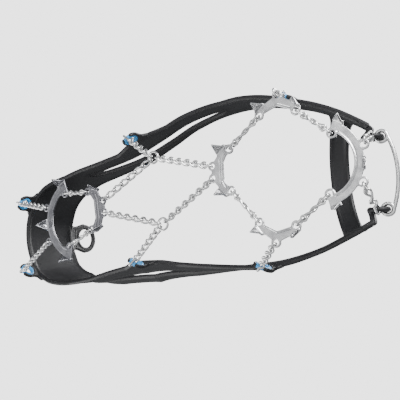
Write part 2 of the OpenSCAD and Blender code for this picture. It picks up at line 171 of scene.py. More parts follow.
def wall_point(side, u, z, offset):
    """Point of the harness wall at height z, offset outwards from its inner face."""
    p = walk(side, u)
    out = offset - LEAN * (z - LEAN_FROM)
    if side > 0:
        out += height(SWELL, p[0]) * max(0, z - SWELL_FROM)
    p = p + across(side, u) * out
    return ORIGIN + (p[0], p[1], z)


def hook(side, u, z):
    """Point just outside the side line, where a chain passes round an eyelet's rod."""
    p = walk(side, u) + 0.2 * across(side, u)
    return ORIGIN + (p[0], p[1], z)


def wall_turn(side, u):
    n = across(side, u)
    return math.degrees(math.atan2(n[1], n[0])) - 90


def toe_turn():
    a, b = (np.array(TOE_HOOKS[k], float) for k in (-1, 1))
    return math.degrees(math.atan2(b[1] - a[1], b[0] - a[0])) - 90


def rim_at(name, point, towards):
    """Middle of the rim of a plate's eye, on the side that faces a point."""
    up = place_of(name)[0][:, 2]
    a = put(name, point)
    way = towards - a
    way = way - up * (way @ up)
    return a + way / np.linalg.norm(way) * (EYE_R + LUG_R) / 2


# ---------------------------------------------------------------- materials


def material(name, color, roughness, metallic=0.0, specular=0.5):
    """A principled material with its uniform numbers set on the shader."""
    m = bpy.data.materials.new(name)
    m.use_nodes = True
    shader = m.node_tree.nodes["Principled BSDF"]
    shader.inputs["Base Color"].default_value = (*color, 1)
    shader.inputs["Roughness"].default_value = roughness
    shader.inputs["Metallic"].default_value = metallic
    shader.inputs["Specular IOR Level"].default_value = specular
    return m, m.node_tree.nodes, m.node_tree.links, shader


def noise(nodes, links, coords, scale, detail=3.0, stretch=(1, 1, 1)):
    """Noise texture on the given coordinates, which are stretched first."""
    mapping = nodes.new("ShaderNodeMapping")
    mapping.inputs["Scale"].default_value = stretch
    links.new(coords, mapping.inputs["Vector"])
    texture = nodes.new("ShaderNodeTexNoise")
    texture.inputs["Scale"].default_value = scale
    texture.inputs["Detail"].default_value = detail
    links.new(mapping.outputs["Vector"], texture.inputs["Vector"])
    return texture.outputs["Fac"]


def spread(nodes, links, value, low, high, start=0.3, end=0.7):
    """The value from start to end, mapped to low and high."""
    node = nodes.new("ShaderNodeMapRange")
    for key, number in (("From Min", start), ("From Max", end), ("To Min", low), ("To Max", high)):
        node.inputs[key].default_value = number
    links.new(value, node.inputs["Value"])
    return node.outputs["Result"]


def shades(nodes, links, value, dark, light):
    """A colour between dark and light."""
    ramp = nodes.new("ShaderNodeValToRGB")
    ramp.color_ramp.elements[0].position = 0.3
    ramp.color_ramp.elements[1].position = 0.7
    ramp.color_ramp.elements[0].color = (*dark, 1)
    ramp.color_ramp.elements[1].color = (*light, 1)
    links.new(value, ramp.inputs["Fac"])
    return ramp.outputs["Color"]


def bump(nodes, links, shader, value, depth, before=None):
    """Bump of a depth in metres on the shader."""
    node = nodes.new("ShaderNodeBump")
    node.inputs["Distance"].default_value = depth
    links.new(value, node.inputs["Height"])
    if before:
        links.new(before, node.inputs["Normal"])
    links.new(node.outputs["Normal"], shader.inputs["Normal"])
    return node.outputs["Normal"]


def brushed_steel(name, dark, light, rough):
    """Stamped plate: brushed along its grain, with faint stains and scuffs."""
    m, nodes, links, shader = material(name, light, rough, metallic=1.0)
    grain = nodes.new("ShaderNodeAttribute")
    grain.attribute_name = "grain"
    lines = noise(nodes, links, grain.outputs["Vector"], 1.0, 4, (5.0, 0.2, 0.5))
    blotches = noise(nodes, links, grain.outputs["Vector"], 0.13, 3)
    links.new(shades(nodes, links, blotches, dark, light), shader.inputs["Base Color"])
    links.new(spread(nodes, links, lines, rough - 0.07, rough + 0.1), shader.inputs["Roughness"])
    bump(nodes, links, shader, lines, 0.00003)
    return m


def wire_steel(name):
    """Bright tumbled wire with fine draw marks."""
    m, nodes, links, shader = material(name, (0.8, 0.8, 0.8), 0.2, metallic=1.0)
    coords = nodes.new("ShaderNodeTexCoord").outputs["Object"]
    spots = noise(nodes, links, coords, 700)
    patches = noise(nodes, links, coords, 90)
    links.new(shades(nodes, links, patches, (0.62, 0.62, 0.62), (0.86, 0.86, 0.85)),
              shader.inputs["Base Color"])
    links.new(spread(nodes, links, spots, 0.14, 0.3), shader.inputs["Roughness"])
    bump(nodes, links, shader, spots, 0.00005)
    return m


def rubber(name, dark, light, rough):
    """Moulded elastomer: fine grain, a little uneven sheen."""
    m, nodes, links, shader = material(name, dark, rough, specular=0.45)
    coords = nodes.new("ShaderNodeTexCoord").outputs["Object"]
    grain = noise(nodes, links, coords, 1600, 2)
    patches = noise(nodes, links, coords, 45, 4)
    links.new(shades(nodes, links, patches, dark, light), shader.inputs["Base Color"])
    links.new(spread(nodes, links, patches, rough - 0.07, rough + 0.09), shader.inputs["Roughness"])
    bump(nodes, links, shader, grain, 0.00006)
    return m


FINISHES = {
    "plate": brushed_steel("brushed_plate", (0.46, 0.46, 0.47), (0.82, 0.82, 0.82), 0.25),
    # The heel plates are the same steel as the other plates, painted darker: their lower tone is painted
    # shade, not a darker metal.
    "heel_plate": brushed_steel("heel_plate_steel_painted_shade", (0.24, 0.24, 0.26), (0.38, 0.38, 0.40), 0.25),
    "wire": wire_steel("bright_wire"),
    "harness": rubber("black_rubber", (0.006, 0.006, 0.007), (0.013, 0.013, 0.015), 0.5),
    "eyelet": rubber("blue_rubber", (0.045, 0.30, 0.66), (0.075, 0.40, 0.78), 0.4),
}


# ---------------------------------------------------------------- mesh tools


def new_piece(name, points, faces, slot, nodes=(), normals=None):
    """A smooth mesh piece from points in millimetres that stands for CAD nodes."""
    mesh = bpy.data.meshes.new(name)
    corners = [tuple(p) for p in np.asarray(points, float) * MM]
    mesh.from_pydata(corners, [], [tuple(map(int, f)) for f in faces])
    mesh.validate()
    mesh.shade_smooth()
    mesh.materials.append(FINISHES[slot])
    if normals is not None and len(normals) == len(mesh.vertices):
        mesh.normals_split_custom_set_from_vertices([tuple(n) for n in normals])
    piece = bpy.data.objects.new(name, mesh)
    bpy.context.scene.collection.objects.link(piece)
    if nodes:
        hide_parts(*nodes)
    return piece


def joined(parts):
    """Points and faces of several meshes as one."""
    points, faces, first = [], [], 0
    for p, f in parts:
        points.append(np.asarray(p, float))
        faces += [[first + i for i in face] for face in f]
        first += len(p)
    return np.vstack(points), faces


def tube(path, radii, closed=True, around=14):
    """Round wire along a path; its section is carried along without twist."""
    path = np.asarray(path, float)
    n = len(path)
    radii = np.broadcast_to(radii, n)
    ahead = np.roll(path, -1, 0) - np.roll(path, 1, 0)
    if not closed:
        ahead[0], ahead[-1] = path[1] - path[0], path[-1] - path[-2]
    ahead /= np.linalg.norm(ahead, axis=1)[:, None]
    normal = np.cross(ahead[0], (0.31, 0.52, 0.79))
    frames = []
    for t in ahead:
        normal = normal - t * (normal @ t)
        normal /= np.linalg.norm(normal)
        frames.append((normal, np.cross(t, normal)))
    slip = 0.0
    if closed:
        last = frames[-1][0] - ahead[0] * (frames[-1][0] @ ahead[0])
        slip = math.atan2(last @ frames[0][1], last @ frames[0][0])
    points = []
    for i, (p, (a, b), r) in enumerate(zip(path, frames, radii)):
        angles = 2 * math.pi * np.arange(around) / around - slip * i / n
        points += [p + r * (math.cos(w) * a + math.sin(w) * b) for w in angles]
    faces = []
    for i in range(n if closed else n - 1):
        j = (i + 1) % n
        for k in range(around):
            m = (k + 1) % around
            faces.append((i * around + k, i * around + m, j * around + m, j * around + k))
    if not closed:
        faces += [tuple(reversed(range(around))), tuple(range((n - 1) * around, n * around))]
    return points, faces


def polygon_distance(x, y, corners):
    """Distance to a polygon, negative inside it."""
    best, inside = np.full(np.shape(x), 1e9), np.zeros(np.shape(x), bool)
    for (ax, ay), (bx, by) in zip(corners, corners[1:] + corners[:1]):
        ex, ey = bx - ax, by - ay
        t = np.clip(((x - ax) * ex + (y - ay) * ey) / (ex * ex + ey * ey), 0, 1)
        best = np.minimum(best, np.hypot(x - ax - ex * t, y - ay - ey * t))
        if ay != by:
            inside ^= ((ay > y) != (by > y)) & (x < ex * (y - ay) / ey + ax)
    return np.where(inside, -best, best)


def line_distance(x, y, corners):
    """Distance to an open line."""
    best = np.full(np.shape(x), 1e9)
    for (ax, ay), (bx, by) in zip(corners, corners[1:]):
        ex, ey = bx - ax, by - ay
        t = np.clip(((x - ax) * ex + (y - ay) * ey) / (ex * ex + ey * ey), 0, 1)
        best = np.minimum(best, np.hypot(x - ax - ex * t, y - ay - ey * t))
    return best


def join(a, b, blend):
    """Union of two distances with a fillet."""
    h = np.clip(0.5 + 0.5 * (b - a) / blend, 0, 1)
    return b * (1 - h) + a * h - blend * h * (1 - h)


def cut(a, b, blend):
    """Distance a without b, with a rounded rim."""
    return -join(-a, b, blend)


def slab(flat, z, half, edge):
    """A flat outline's distance made into a sheet with rounded edges."""
    p, q = flat + edge, np.abs(z) - half + edge
    return np.minimum(np.maximum(p, q), 0) + np.hypot(np.maximum(p, 0), np.maximum(q, 0)) - edge


def soften(flat, times):
    """Rounds the corners of an outline's distance on its grid."""
    for _ in range(times):
        for axis in (0, 1):
            flat = (np.roll(flat, 1, axis) + 2 * flat + np.roll(flat, -1, axis)) / 4
    return flat


def ease(x, low, high):
    t = np.clip((x - low) / (high - low), 0, 1)
    return t * t * (3 - 2 * t)


def grid(low, high, step):
    """Coordinates of a grid's points."""
    axes = [np.arange(a, b + step, step) for a, b in zip(low, high)]
    return np.meshgrid(*axes, indexing="ij")


def sample(field, at):
    """The field between its grid points."""
    base = np.clip(np.floor(at).astype(int), 0, np.array(field.shape) - 2)
    f = at - base
    total = 0
    for c in np.ndindex(2, 2, 2):
        weight = np.prod(np.where(c, f, 1 - f), axis=1)
        total = total + weight * field[tuple((base + c).T)]
    return total


def skin(field, low, step):
    """Points, outward normals and quads of the surface where the field is zero."""
    size = np.array(field.shape) - 1
    corners = list(np.ndindex(2, 2, 2))
    block = [field[i:i + size[0], j:j + size[1], k:k + size[2]] < 0 for i, j, k in corners]
    count = sum(b.astype(np.int8) for b in block)
    active = (count > 0) & (count < 8)
    cells = np.argwhere(active)
    number = np.full(size, -1)
    number[active] = np.arange(len(cells))
    total, hits = np.zeros((len(cells), 3)), np.zeros(len(cells))
    for a in corners:
        for axis in range(3):
            if a[axis]:
                continue
            b = tuple(1 if i == axis else a[i] for i in range(3))
            va, vb = field[tuple((cells + a).T)], field[tuple((cells + b).T)]
            crossed = (va < 0) != (vb < 0)
            t = np.where(crossed, va / np.where(crossed, va - vb, 1), 0)
            spot = np.array(a, float) + np.outer(t, np.eye(3)[axis])
            total += spot * crossed[:, None]
            hits += crossed
    at = cells + total / hits[:, None]
    slopes = np.gradient(field)
    for _ in range(2):
        slope = np.stack([sample(g, at) for g in slopes], 1)
        square = np.maximum((slope**2).sum(1), 1e-6)
        at = at - np.clip(slope * (sample(field, at) / square)[:, None], -0.5, 0.5)
    normals = np.stack([sample(g, at) for g in slopes], 1)
    normals /= np.maximum(np.linalg.norm(normals, axis=1), 1e-9)[:, None]
    quads = []
    for axis in range(3):
        u, v = np.eye(3, dtype=int)[(axis + 1) % 3], np.eye(3, dtype=int)[(axis + 2) % 3]
        a, b = np.moveaxis(field, axis, 0)[:-1] < 0, np.moveaxis(field, axis, 0)[1:] < 0
        edges = np.argwhere(np.moveaxis(a != b, 0, axis))
        edges = edges[((edges - u - v >= 0) & (edges < size)).all(1)]
        ring = np.stack([number[tuple((edges - s).T)] for s in (0 * u, u, u + v, v)], 1)
        out = field[tuple(edges.T)] < 0
        quads.append(np.where(out[:, None], ring, ring[:, ::-1]))
    quads = np.vstack(quads)
    return np.array(low) + at * step, normals, quads[(quads >= 0).all(1)]


def skinned_piece(name, field, low, step, rotation, at, slot, nodes=()):
    """Piece from a field in a local frame."""
    local, normals, quads = skin(field, low, step)
    piece = new_piece(name, local @ rotation.T + at, quads, slot, nodes, normals @ rotation.T)
    return piece, local


# ---------------------------------------------------------------- plates


def mirrored(points):
    return [(x, -y) for x, y in points]


def tooth_field(x, y, z, p, q, tilt):
    """Tooth folded down along the line p to q, with a crease from its tip."""
    w = math.dist(p, q) / 2 - 0.15
    angle = math.atan2(q[1] - p[1], q[0] - p[0])
    mx, my = (p[0] + q[0]) / 2, (p[1] + q[1]) / 2
    a = (x - mx) * math.cos(angle) + (y - my) * math.sin(angle)
    out = -(x - mx) * math.sin(angle) + (y - my) * math.cos(angle) + 0.1
    t = math.radians(tilt)
    out, down = out * math.cos(t) + z * math.sin(t), -out * math.sin(t) + z * math.cos(t)
    h = -TOOTH_H - PLATE_T / 2
    outline = [(-w, 0.4), (w, 0.4), (w, -1.5), (0.35, h), (-0.35, h), (-w, -1.5)]
    flat = polygon_distance(a, down, outline)
    deep = ease(-down, 0.6, 3.0)
    ridge = np.sqrt(a * a + 0.03) - 0.4 * w
    return slab(flat, out + 0.75 + 0.5 * deep * ridge, 0.66, 0.26)


def plate_field(x, y, z, outlines, holes, teeth, cuts=(), grooves=(), recess=None):
    """Field of a stamped plate: outline, eyes with lips, teeth and stamped lines."""
    fx, fy = x[:, :, 0], y[:, :, 0]
    flat = outlines[0](fx, fy)
    for outline in outlines[1:]:
        flat = join(flat, outline(fx, fy), 0.7)
    for c in cuts:
        flat = cut(flat, c(fx, fy), 0.4)
    flat = soften(flat, 3)
    body = slab(flat[:, :, None], z, PLATE_T / 2, 0.42)
    marks = np.zeros_like(fx)
    for g in grooves:
        marks = np.maximum(marks, 0.42 * np.exp(-((g(fx, fy) / 0.34) ** 2)))
    if recess is not None:
        marks = np.maximum(marks, 0.2 * (1 - ease(recess(fx, fy), -0.25, 0.25)))
    body = body + marks[:, :, None]
    for hx, hy in holes:
        ring = np.hypot(fx - hx, fy - hy)[:, :, None]
        lip = np.hypot(ring - LIP_R, z * 0.8) - 0.6
        body = join(body, lip, 0.45)
        body = cut(body, ring - EYE_R, 0.3)
    for p, q, tilt in teeth:
        near = np.hypot(x - (p[0] + q[0]) / 2, y - (p[1] + q[1]) / 2) < 11
        tooth = np.full(x.shape, 9.0)
        tooth[near] = tooth_field(x[near], y[near], z[near], p, q, tilt)
        body = join(body, tooth, 1.0)
    return body


def make_plate(name, place, low, high, slot, grain_centre=None, **shape):
    step = PLATE_STEP
    x, y, z = grid(low, high, step)
    rotation, at = place_of(place)
    piece, local = skinned_piece(name + "_stamping", plate_field(x, y, z, **shape), low, step,
                                 rotation, at, slot, [name])
    if grain_centre is None:
        grain = local
    else:
        arm = local[:, :2] - grain_centre
        reach = np.linalg.norm(arm, axis=1)
        grain = np.stack([reach, np.arctan2(arm[:, 1], -arm[:, 0]) * 25, local[:, 2]], 1)
    layer = piece.data.attributes.new("grain", "FLOAT_VECTOR", "POINT")
    layer.data.foreach_set("vector", grain.astype(np.float32).ravel())
    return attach(piece, name)


def circle_at(cx, cy, r):
    return lambda x, y: np.hypot(x - cx, y - cy) - r


def polygon(*points):
    return lambda x, y: polygon_distance(x, y, list(points))


def line(*points):
    return lambda x, y: line_distance(x, y, list(points))


def arc_band(cx, inner, outer, spread_angle, facing):
    """Part of a ring about (cx, 0), open away from its facing side."""
    def field(x, y):
        r = np.hypot(x - cx, y)
        angle = np.abs(np.arctan2(y, (x - cx) * facing))
        return np.maximum(np.abs(r - (inner + outer) / 2) - (outer - inner) / 2,
                          (angle - spread_angle) * r)
    return field


def both(make, points):
    """The outline on both sides of the plate."""
    return [make(*points), make(*mirrored(points))]


def toe_plate():
    end = [(3.1, 16.4), (6, 21.4), (6.6, 23.3), (1, 26), (-1, 20.2), (-2.4, 17.6), (0, 14.6)]
    foot = [(13, 8), (15, 12.6), (17, 12.6), (17, 7.6)]
    holes = [(0, 17), (17.7, 10.3), (0, -17), (17.7, -10.3)]

    def edge_line(x, y):
        r = np.hypot(x + 6.4, y)
        return np.where(np.abs(y) < 18.4, np.abs(r - 20.6), 9.0)

    make_plate(
        "toe_plate", "toe", (-5, -28.5, PLATE_LOW), (22.5, 28.5, 2), "plate", np.array([-6.4, 0]),
        outlines=[arc_band(-6.4, 19.2, 24.7, math.radians(60), 1), *both(polygon, end),
                  *both(polygon, foot), polygon((17, -4.2), (19, -3.3), (19, 3.3), (17, 4.2)),
                  *[circle_at(*h, LUG_DRAWN_R) for h in holes]],
        holes=holes, grooves=[edge_line],
        teeth=[((6.6, -23.3), (1, -26), 12), ((1, 26), (6.6, 23.3), 12), ((19, 3.3), (19, -3.3), 8)],
    )


def side_plate(side):
    s = SIDES[side]
    outline = [(-9.5, 0.4), (0, 4.1), (9.5, 0.4), (14.2, 0.4), (14.4, 2.4), (9.7, 7.4), (7.4, 6.8),
               (2.9, 9.4), (-2.9, 9.4), (-7.4, 6.8), (-9.7, 7.4), (-14.4, 2.4), (-14.2, 0.4)]
    outline = [(x, y * s) for x, y in outline]
    holes = [(-11.5, 0), (11.5, 0), (0, 10.7 * s)]
    if s > 0:
        teeth = [((9.7, 7.4), (14.4, 2.4), 10), ((-14.4, 2.4), (-9.7, 7.4), 10)]
    else:
        teeth = [((14.4, -2.4), (9.7, -7.4), 10), ((-9.7, -7.4), (-14.4, -2.4), 10)]
    low, high = ((-18.5, -5), (18.5, 16)) if s > 0 else ((-18.5, -16), (18.5, 5))
    make_plate(
        "side_plate_" + side, "side_" + side, (*low, PLATE_LOW), (*high, 2), "plate",
        outlines=[polygon(*outline), *[circle_at(*h, LUG_DRAWN_R) for h in holes]],
        holes=holes, teeth=teeth,
        grooves=[line((-8.2, 2.2 * s), (0, 5.4 * s), (8.2, 2.2 * s))],
    )


def ball_plate():
    half = [(-4.3, 0), (-4.3, 5.8), (-2.6, 9), (0, 11), (-0.6, 15.7), (-3.9, 16.4), (-9.6, 12),
            (-8.6, 9.8), (-11, 6.9), (-13.4, 3.8), (-13, 0)]
    outline = half + mirrored(half[1:-1])[::-1]
    holes = [(0, 12.9), (0, -12.9), (-12.4, 3.8), (-12.4, -3.8)]
    make_plate(
        "ball_plate", "ball", (-17, -21, PLATE_LOW), (4.5, 21, 2), "plate",
        outlines=[polygon(*outline), *[circle_at(*h, LUG_DRAWN_R) for h in holes]],
        holes=holes,
        grooves=[line((-3.5, -10.5), (-5.5, -6.2), (-5.5, 6.2), (-3.5, 10.5)),
                 line((-6.9, -7.6), (-6.9, 7.6))],
        teeth=[((-3.9, -16.4), (-9.6, -12), 10), ((-9.6, 12), (-3.9, 16.4), 10)],
    )


def fore_heel_plate():
    half = [(5.2, 0), (5.3, 6.4), (3, 10.4), (0, 12), (0.8, 16.4), (5, 16.6), (11.3, 13.8),
            (9.9, 11.8), (11.4, 8.2), (14.4, 5), (14.8, 0)]
    outline = half + mirrored(half[1:-1])[::-1]
    holes = [(0, 13.9), (0, -13.9), (13.5, 4.3), (13.5, -4.3)]
    make_plate(
        "fore_heel_plate", "fore_heel", (-5, -21.5, PLATE_LOW), (18.5, 21.5, 2), "heel_plate",
        outlines=[polygon(*outline), *[circle_at(*h, LUG_DRAWN_R) for h in holes]],
        holes=holes,
        grooves=[line((4.6, -12.2), (6.9, -7.2), (6.9, 7.2), (4.6, 12.2)),
                 line((7.6, -11.6), (9.1, -7.4), (9.1, 7.4), (7.6, 11.6))],
        teeth=[((11.3, -13.8), (5, -16.6), 8), ((5, 16.6), (11.3, 13.8), 8)],
    )


def rear_heel_plate():
    end = [(-8.2, 18.2), (-11.4, 21.2), (-7.6, 25), (-6.7, 27.6), (0, 31), (2.9, 21), (0.4, 17.6),
           (-4.6, 19.4)]
    holes = [(0, 19.7), (0, -19.7), (-20.7, 13), (-20.7, -13)]
    make_plate(
        "rear_heel_plate", "rear_heel", (-27, -36, PLATE_LOW), (6, 36, 2), "heel_plate",
        np.array([9.2, 0]),
        outlines=[arc_band(9.2, 24.5, 30.1, math.radians(52), -1), *both(polygon, end),
                  polygon((-19.4, -5), (-21.7, -4.2), (-21.7, 4.2), (-19.4, 5)),
                  *[circle_at(*h, LUG_DRAWN_R) for h in holes]],
        holes=holes, recess=arc_band(9.2, 25.5, 29.1, math.radians(62), -1),
        teeth=[((0, -31), (-6.7, -27.6), 10), ((-6.7, 27.6), (0, 31), 10),
               ((-21.7, -4.2), (-21.7, 4.2), 24)],
    )


# ---------------------------------------------------------------- wire


def run_frame(a, b):
    """Position and axes of a run from a to b: along it, level across it, and up."""
    x = (b - a) / np.linalg.norm(b - a)
    y = np.cross((0, 0, 1), x)
    y /= np.linalg.norm(y)
    return a, np.stack([x, y, np.cross(x, y)], 1)


def link_mesh(run, centre, reach, bend, start_roll, end_roll, waist=None, far_bend=None):
    """A closed link about the run's axis, rolled from one end to the other."""
    at, axes = run
    bends = (bend, far_bend or bend)
    turn = np.radians(np.arange(-90, 91, 15))
    ends = []
    for sign, r in ((1, bends[1]), (-1, bends[0])):
        ends.append([(sign * (reach - r + r * math.cos(w)), sign * r * math.sin(w)) for w in turn])
    sides = 12 if waist is None else 44
    top = [tuple(np.array(ends[0][-1]) * (1 - t) + np.array(ends[1][0]) * t)
           for t in np.arange(1, sides) / sides]
    low = [tuple(np.array(ends[1][-1]) * (1 - t) + np.array(ends[0][0]) * t)
           for t in np.arange(1, sides) / sides]
    flat = np.array(ends[0] + top + ends[1] + low)
    first, last = -(reach - bends[0]), reach - bends[1]
    across_now = flat[:, 1].copy()
    twist_low, twist_high = first, last
    if waist is not None:
        opens = ease(flat[:, 0], last - 1.6, last + 0.9)
        pinch = ease(flat[:, 0], first - 0.9, first + 1.6) * (1 - opens)
        across_now *= 1 - pinch * (1 - waist / bend)
        twist_low, twist_high = first + 0.8, last - 0.8
    share = np.clip((flat[:, 0] - twist_low) / max(twist_high - twist_low, 1e-6), 0, 1)
    if far_bend:
        # The last link has turned before it reaches the rod it hangs on.
        share = np.clip(share / 0.45, 0, 1)
    if waist is None:
        share = share * share * (3 - 2 * share)
    roll = np.radians(start_roll + (end_roll - start_roll) * share)
    local = np.stack([centre + flat[:, 0], across_now * np.cos(roll), across_now * np.sin(roll)], 1)
    # The weld is a slight swelling in the middle of one side.
    weld = 1 + 0.14 * np.exp(-((flat[:, 0] / 0.5) ** 2)) * (flat[:, 1] > 0)
    return tube(local @ axes.T + at, WIRE_R * weld)


def eye_ring(a, b, roll=90):
    centre = RING_REACH - RING_BEND
    return link_mesh(run_frame(a, b), centre, RING_REACH, RING_BEND, roll, roll)


def rod_way(face):
    """Way of an eyelet's rod where the chain passes round it."""
    return np.array([math.cos(math.radians(face)), math.sin(math.radians(face)), 0])


def last_roll(a, b, rod):
    """Roll of a link from a to b that crosses the rod as squarely as it can, from 0 to 180."""
    axes = run_frame(a, b)[1]
    return math.degrees(math.atan2(-(rod @ axes[:, 1]), rod @ axes[:, 2])) % 180


def hook_over(a, b, rod):
    """Distance by which the last link passes the rod, along the chain."""
    way = (b - a) / np.linalg.norm(b - a)
    return (ROD_R + WIRE_R + SLACK) / np.linalg.norm(np.cross(way, rod))


def chain_run(a, b, over, last_bend=None, roll=90):
    """Eye ring and curb links from a to past b; the last link ends with the given roll."""
    room = np.linalg.norm(b - a) + over - RING_FAR
    count = 2 * round(room / PITCH / 2)
    pitch = room / count
    reach = (pitch + STEP_IN) / 2
    twist = (roll - 90) / (count + 1)
    parts = [eye_ring(a, b, 90 + twist)]
    for i in range(count):
        centre = RING_FAR - STEP_IN + reach + i * pitch
        far = last_bend if i == count - 1 else None
        parts.append(link_mesh(run_frame(a, b), centre, reach, LINK_BEND,
                               twist * (i + 1), 90 + twist * (i + 2), far_bend=far))
    return parts


def eyelet_chain(name, point, b, face):
    """Chain from a plate's eye up to the rod of an eyelet."""
    a, rod = rim_at(name, point, b), rod_way(face)
    return chain_run(a, b, hook_over(a, b, rod), END_BEND, last_roll(a, b, rod))


def mid_run(knot, b, face):
    """Links from the knot ring up to the eyelet; the last one is hardly twisted."""
    way = (b - knot) * (1, 1, 0)
    a, rod = knot + way / np.linalg.norm(way) * KNOT_R, rod_way(face)
    room = np.linalg.norm(b - a) + hook_over(a, b, rod)
    count = 2 * round((room / PITCH - 1) / 2) + 1
    pitch = room / count
    reach = (pitch + STEP_IN) / 2
    twist = (last_roll(a, b, rod) - 90) / count
    parts = []
    for i in range(count):
        last = i == count - 1
        parts.append(link_mesh(run_frame(a, b), reach - STEP_IN + i * pitch, reach, LINK_BEND,
                               90 + twist * i, (90 if last else 180) + twist * (i + 1),
                               far_bend=END_BEND if last else None))
    return parts


def connector(plate, point, other, spot):
    """Two eye rings and the long twisted link between them."""
    a, b = rim_at(plate, point, put(other, spot)), rim_at(other, spot, put(plate, point))
    span = np.linalg.norm(b - a)
    return [eye_ring(a, b), eye_ring(b, a),
            link_mesh(run_frame(a, b), span / 2, span / 2 - RING_FAR + STEP_IN, LINK_BEND, 0, 360, 0.8)]


def wire_piece(node, parts):
    points, faces = joined(parts)
    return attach(new_piece(node + "_wire", points, faces, "wire", [node]), node)


def chains():
    """Every connector, chain, leg and knot ring, each as one wire piece."""
    for side, s in SIDES.items():
        knot = ORIGIN + KNOTS[s]
        plate = "side_" + side
        wire_piece("toe_connector_" + side, connector("toe", (0, 17 * s), plate, (11.5, 0)))
        wire_piece("ball_connector_" + side, connector(plate, (-11.5, 0), "ball", (0, 12.9 * s)))
        wire_piece("heel_connector_" + side,
                   connector("fore_heel", (0, 13.9 * s), "rear_heel", (0, 19.7 * s)))
        wire_piece("toe_chain_" + side,
                   eyelet_chain("toe", (17.7, 10.3 * s), ORIGIN + TOE_HOOKS[s], toe_turn()))
        wire_piece("side_chain_" + side,
                   eyelet_chain(plate, (0, 10.7 * s), hook(s, SIDE_U[s], 10),
                                wall_turn(s, SIDE_U[s]) + SIDE_SWING[s]))
        wire_piece("heel_chain_" + side,
                   eyelet_chain("rear_heel", (-20.7, 13 * s), hook(s, HEEL_U[s], 8),
                                wall_turn(s, HEEL_U[s])))
        for node, name, point in (("ball_leg_", "ball", (-12.4, 3.8 * s)),
                                  ("heel_leg_", "fore_heel", (13.5, 4.3 * s))):
            wire_piece(node + side,
                       chain_run(rim_at(name, point, knot), knot, STEP_IN - KNOT_R))
        wire_piece("mid_chain_" + side,
                   mid_run(knot, hook(s, MID_U[s], 8), wall_turn(s, MID_U[s]) + MID_SWING[s]))
        turn = 2 * math.pi * np.arange(48) / 48
        ring = knot + KNOT_R * np.stack([np.cos(turn), np.sin(turn), 0 * turn], 1)
        wire_piece("knot_ring_" + side, [tube(ring, WIRE_R)])


def bail_path():
    """Bow over the toe and the closed eye at each end of it, in one wire."""
    a, b = (ORIGIN + TOE_HOOKS[s] + (0, 0, TOE_EYELET_R) for s in (-1, 1))
    y = (b - a) / np.linalg.norm(b - a)
    x = np.array([y[1], -y[0], 0])
    half = np.linalg.norm(b - a) / 2
    eye = ROD_R + BAIL_R + 0.4
    rise = 4
    big = (half**2 + rise**2) / (2 * rise)
    sweep = math.asin(half / big)
    middle = (a + b) / 2 + x * (TOE_EYELET_R + eye + rise - big)
    bow = [middle + big * (math.cos(w) * x + math.sin(w) * y) for w in np.linspace(-sweep, sweep, 60)]
    curls = []
    for s, end in ((-1, a), (1, b)):
        centre = end + x * TOE_EYELET_R
        turn = np.radians(np.arange(8, 353, 6)) * s
        curls.append([centre + eye * (math.cos(w) * x + math.sin(w) * y) for w in turn])
    return curls[0][::-1] + bow[1:-1] + curls[1]


def toe_bail():
    points, faces = tube(bail_path(), BAIL_R, closed=False, around=20)
    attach(new_piece("toe_bail_wire", points, faces, "wire", ["toe_bail"]), "toe_bail")


# ---------------------------------------------------------------- harness


def wall_stations():
    """Stations (side, u) round the harness, from the outer toe end over the heel to the inner one."""
    steps = np.linspace(0, BAND_END, 190)
    steps = np.unique(np.concatenate([steps, BAND_END - np.array([0, 0.01, 0.03, 0.06])]))
    return [(-1, u) for u in steps[:0:-1]] + [(1, u) for u in steps]


def window(x):
    """Height of the long opening in the wall at x."""
    low, high, tall = WINDOW
    t = abs(2 * (x - low) / (high - low) - 1)
    return tall * math.sqrt(max(0.0, 1 - t**3.2)) if t < 1 else 0.0


def rounded(d, thick, edge=1.5):
    """Half thickness at distance d from a free edge."""
    return thick / 2 * math.sqrt(max(0.0, 1 - (1 - min(d / edge, 1.0)) ** 2))


def wall_section(side, u):
    """Rows below and above the window at one station: (height, inner offset, outer offset)."""
    x = walk(side, u)[0]
    low, mid, top = height(LOW_EDGE, x), height(MID_EDGE, x), top_of(x)
    gap = window(x) if u < WINDOW_LAST_U else 0.0
    end = (BAND_END - u) * 20
    ramp = (1 - np.cos(np.pi * np.arange(25) / 24)) / 2
    blocks = []
    for z0, z1 in ((low, mid), (mid + gap, top)):
        rows = []
        for t in ramp:
            z = z0 + (z1 - z0) * t
            d = min(z - low, top - z, end)
            to_window = max(abs(z - (mid + gap / 2)) - gap / 2, 0.0)
            w_low, w_high = WINDOW[:2]
            if gap > 0:
                # Near the window's ends its edge runs upright, so distance along x counts too.
                d = min(d, to_window)
            else:
                beyond = max(w_low - x, x - w_high)
                d = min(d, math.hypot(beyond, to_window))
            bead = math.exp(-(((d - 1.5) / 1.3) ** 2))
            thick = 2.0 + 1.7 * bead
            half = rounded(d, thick)
            frac = (z - low) / (mid - low)
            ridges = sum(math.exp(-(((frac - c) * (mid - low) / 0.75) ** 2)) for c in (0.36, 0.64))
            lift = 0.55 * ridges * float(ease(d, 2.5, 4.5))
            rows.append((z, RUBBER_T / 2 - half, RUBBER_T / 2 + half + lift))
        blocks.append(rows)
    return blocks


def harness_wall():
    stations = wall_stations()
    points, faces = [], []
    sections = [wall_section(s, u) for s, u in stations]
    rows = len(sections[0][0])
    for block in (0, 1):
        for face in (1, 2):
            base = len(points)
            for (s, u), section in zip(stations, sections):
                points += [wall_point(s, u, row[0], row[face]) for row in section[block]]
            for i in range(len(stations) - 1):
                for k in range(rows - 1):
                    a = base + i * rows + k
                    quad = (a, a + rows, a + rows + 1, a + 1)
                    faces.append(quad if face == 2 else quad[::-1])
    piece = new_piece("harness_wall", points, faces, "harness",
                      ["lower_band_outer", "lower_band_inner", "upper_band_outer",
                       "upper_band_inner", "heel_cup"])
    weld(piece, 0.02)
    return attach(piece, "harness")


